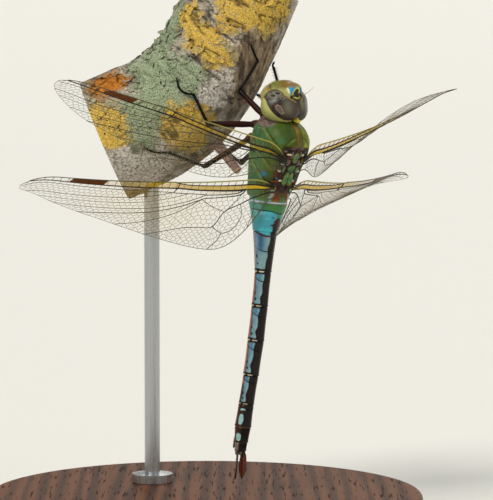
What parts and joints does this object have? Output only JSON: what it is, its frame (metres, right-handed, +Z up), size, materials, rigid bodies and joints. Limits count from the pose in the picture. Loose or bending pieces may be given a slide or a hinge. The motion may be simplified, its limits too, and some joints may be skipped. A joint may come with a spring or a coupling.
{
  "type": "dragonfly model",
  "caption": "Life-size female green darner dragonfly hanging by its legs from a cut length of lichened branch, held by a rod on a flat round display base.",
  "frame": {"origin": "centre of the display base's underside", "axes": "+Z up, along the hanging body towards its head; -Y towards the viewer, who sees the insect's back and left side; +X to the viewer's right"},
  "size_m": [0.0932, 0.084, 0.1108],
  "materials": {
    "turned_walnut": "turned and oiled, satin",
    "steel_rod": "brushed",
    "bark": "rough bark with crusts of lichen",
    "cut_twig": "weathered twig",
    "face_olive": "satin cuticle",
    "eye_brown": "glossy cornea",
    "thorax_green": "satin cuticle with fine down",
    "neck_mauve": "soft skin, matt",
    "abdomen_green": "satin cuticle",
    "abdomen_blue": "satin cuticle",
    "abdomen_dark": "satin cuticle",
    "cercus_brown": "thin brown leaf, satin",
    "leg_maroon": "satin cuticle",
    "leg_black": "satin cuticle",
    "wing_membrane": "clear, faintly amber membrane with dark veins"
  },
  "bodies": {
    "root": {"abdomen_1": "abdomen_green", "abdomen_10": "abdomen_dark", "abdomen_2": "abdomen_green", "abdomen_3": "abdomen_blue", "abdomen_4": "abdomen_blue", "abdomen_5": "abdomen_blue", "abdomen_6": "abdomen_blue", "abdomen_7": "abdomen_blue", "abdomen_8": "abdomen_dark", "abdomen_9": "abdomen_dark", "antenna_left": "leg_black", "antenna_right": "leg_black", "cercus_left": "cercus_brown", "cercus_right": "cercus_brown", "eye_left": "eye_brown", "eye_right": "eye_brown", "head": "face_olive", "leg_fore_left_femur": "leg_maroon", "leg_fore_left_tarsus": "leg_black", "leg_fore_left_tibia": "leg_black", "leg_fore_right_femur": "leg_maroon", "leg_fore_right_tarsus": "leg_black", "leg_fore_right_tibia": "leg_black", "leg_hind_left_femur": "leg_maroon", "leg_hind_left_tarsus": "leg_black", "leg_hind_left_tibia": "leg_black", "leg_hind_right_femur": "leg_maroon", "leg_hind_right_tarsus": "leg_black", "leg_hind_right_tibia": "leg_black", "leg_mid_left_femur": "leg_maroon", "leg_mid_left_tarsus": "leg_black", "leg_mid_left_tibia": "leg_black", "leg_mid_right_femur": "leg_maroon", "leg_mid_right_tarsus": "leg_black", "leg_mid_right_tibia": "leg_black", "mouth": "face_olive", "neck": "neck_mauve", "ovipositor": "abdomen_dark", "perch_branch": "bark", "perch_twig": "cut_twig", "stand_base": "turned_walnut", "stand_rod": "steel_rod", "thorax": "thorax_green", "wing_fore_left": "wing_membrane", "wing_fore_right": "wing_membrane", "wing_hind_left": "wing_membrane", "wing_hind_right": "wing_membrane"}
  },
  "joints": []
}
